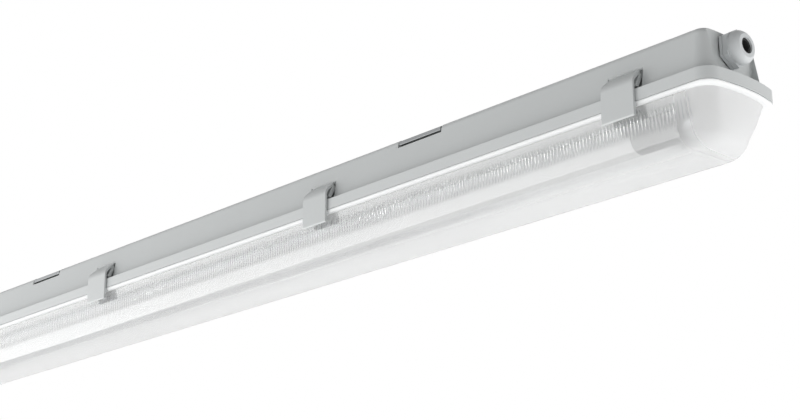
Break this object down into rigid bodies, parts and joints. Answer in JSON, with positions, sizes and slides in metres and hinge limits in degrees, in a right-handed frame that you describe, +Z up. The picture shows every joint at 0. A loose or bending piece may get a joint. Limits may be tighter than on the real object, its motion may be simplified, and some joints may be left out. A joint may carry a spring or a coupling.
{
  "type": "weatherproof ceiling light fixture",
  "caption": "Long sealed ceiling batten: grey housing, clear ribbed diffuser held by side clips, straight lamp in turning holders, cable gland and sprung ceiling brackets.",
  "frame": {"origin": "on the ceiling plane, midway between the two bracket screws", "axes": "+X along the fixture towards the cable gland, +Z up into the ceiling, -Y the front"},
  "size_m": [1.282, 0.0946, 0.0966],
  "materials": {
    "housing_plastic": "moulded polycarbonate, light grey, satin",
    "clip_plastic": "moulded acetal, light grey, satin",
    "diffuser_plastic": "clear injection-moulded polycarbonate, prismatic ribs",
    "gasket_foam": "foamed polyurethane, matt",
    "gland_plastic": "moulded polyamide, grey, satin",
    "seal_rubber": "chloroprene rubber, matt",
    "bracket_steel": "stainless spring steel strip, mill finish",
    "pin_steel": "stainless wire, drawn",
    "tray_steel": "sheet steel, white polyester powder coat",
    "zinc_steel": "bright zinc plated steel",
    "holder_plastic": "moulded polycarbonate, white",
    "rotor_plastic": "moulded polybutylene, white",
    "terminal_plastic": "moulded polyamide, natural white",
    "contact_brass": "stamped brass",
    "live_sheath": "brown PVC",
    "neutral_sheath": "blue PVC",
    "earth_sheath": "green and yellow PVC",
    "tube_plastic": "opal polycarbonate tube, white",
    "sleeve_plastic": "moulded polycarbonate, grey",
    "cap_aluminium": "drawn aluminium",
    "pin_brass": "nickel-plated brass",
    "board_white": "white solder mask",
    "board_green": "glass-fibre board, green mask"
  },
  "bodies": {
    "root": {"housing": "housing_plastic", "housing_gasket": "gasket_foam", "clip_pins": "pin_steel", "gear_tray": "tray_steel", "tray_screws": "zinc_steel", "lampholder_a": "holder_plastic", "lampholder_b": "holder_plastic", "holder_contacts_a": "contact_brass", "holder_contacts_b": "contact_brass", "terminal_block": "terminal_plastic", "terminal_clamps": "contact_brass", "terminal_screws": "zinc_steel", "earth_screw": "zinc_steel", "lead_live": "live_sheath", "lead_neutral": "neutral_sheath", "lead_earth": "earth_sheath", "lead_clips": "terminal_plastic", "gland_body": "gland_plastic", "gland_washer": "seal_rubber", "gland_seal": "seal_rubber", "entry_plug": "gland_plastic", "ceiling_bracket_a": "bracket_steel", "ceiling_bracket_b": "bracket_steel"},
    "diffuser": {"diffuser": "diffuser_plastic"},
    "lamp": {"lamp_tube": "tube_plastic", "lamp_led_board": "board_white", "lamp_drivers": "board_green", "lamp_end_sleeve_a": "sleeve_plastic", "lamp_end_sleeve_b": "sleeve_plastic", "lamp_cap_a": "cap_aluminium", "lamp_cap_b": "cap_aluminium", "lamp_pins_a": "pin_brass", "lamp_pins_b": "pin_brass", "rotor_a": "rotor_plastic", "rotor_b": "rotor_plastic"},
    "gland_nut": {"gland_nut": "gland_plastic"},
    "clip_front_1": {"clip_front_1": "clip_plastic"},
    "clip_back_1": {"clip_back_1": "clip_plastic"},
    "clip_front_2": {"clip_front_2": "clip_plastic"},
    "clip_back_2": {"clip_back_2": "clip_plastic"},
    "clip_front_3": {"clip_front_3": "clip_plastic"},
    "clip_back_3": {"clip_back_3": "clip_plastic"},
    "clip_front_4": {"clip_front_4": "clip_plastic"},
    "clip_back_4": {"clip_back_4": "clip_plastic"}
  },
  "joints": [
    {"name": "diffuser_drop", "type": "slide", "parent": "root", "child": "diffuser", "axis": [0, 0, -1], "range_m": [0, 0.035]},
    {"name": "lamp_turn", "type": "hinge", "parent": "root", "child": "lamp", "pos_m": [0, 0, -0.0632], "axis": [1, 0, 0], "range_deg": [0, 90]},
    {"name": "gland_nut_turn", "type": "hinge", "parent": "root", "child": "gland_nut", "pos_m": [0.63, 0, -0.0156], "axis": [1, 0, 0], "range_deg": [0, 360]},
    {"name": "clip_front_1_open", "type": "hinge", "parent": "root", "child": "clip_front_1", "pos_m": [0.55, -0.03508, -0.0243], "axis": [-1, 0, 0], "range_deg": [0, 90]},
    {"name": "clip_back_1_open", "type": "hinge", "parent": "root", "child": "clip_back_1", "pos_m": [0.55, 0.03508, -0.0243], "axis": [1, 0, 0], "range_deg": [0, 90]},
    {"name": "clip_front_2_open", "type": "hinge", "parent": "root", "child": "clip_front_2", "pos_m": [0.18333, -0.03508, -0.0243], "axis": [-1, 0, 0], "range_deg": [0, 90]},
    {"name": "clip_back_2_open", "type": "hinge", "parent": "root", "child": "clip_back_2", "pos_m": [0.18333, 0.03508, -0.0243], "axis": [1, 0, 0], "range_deg": [0, 90]},
    {"name": "clip_front_3_open", "type": "hinge", "parent": "root", "child": "clip_front_3", "pos_m": [-0.18333, -0.03508, -0.0243], "axis": [-1, 0, 0], "range_deg": [0, 90]},
    {"name": "clip_back_3_open", "type": "hinge", "parent": "root", "child": "clip_back_3", "pos_m": [-0.18333, 0.03508, -0.0243], "axis": [1, 0, 0], "range_deg": [0, 90]},
    {"name": "clip_front_4_open", "type": "hinge", "parent": "root", "child": "clip_front_4", "pos_m": [-0.55, -0.03508, -0.0243], "axis": [-1, 0, 0], "range_deg": [0, 90]},
    {"name": "clip_back_4_open", "type": "hinge", "parent": "root", "child": "clip_back_4", "pos_m": [-0.55, 0.03508, -0.0243], "axis": [1, 0, 0], "range_deg": [0, 90]}
  ],
  "couplings": [
    {"joint": "clip_front_1_open", "follows": "diffuser_drop", "rad_per_m": 44.87},
    {"joint": "clip_back_1_open", "follows": "diffuser_drop", "rad_per_m": 44.87},
    {"joint": "clip_front_2_open", "follows": "diffuser_drop", "rad_per_m": 44.87},
    {"joint": "clip_back_2_open", "follows": "diffuser_drop", "rad_per_m": 44.87},
    {"joint": "clip_front_3_open", "follows": "diffuser_drop", "rad_per_m": 44.87},
    {"joint": "clip_back_3_open", "follows": "diffuser_drop", "rad_per_m": 44.87},
    {"joint": "clip_front_4_open", "follows": "diffuser_drop", "rad_per_m": 44.87},
    {"joint": "clip_back_4_open", "follows": "diffuser_drop", "rad_per_m": 44.87}
  ]
}
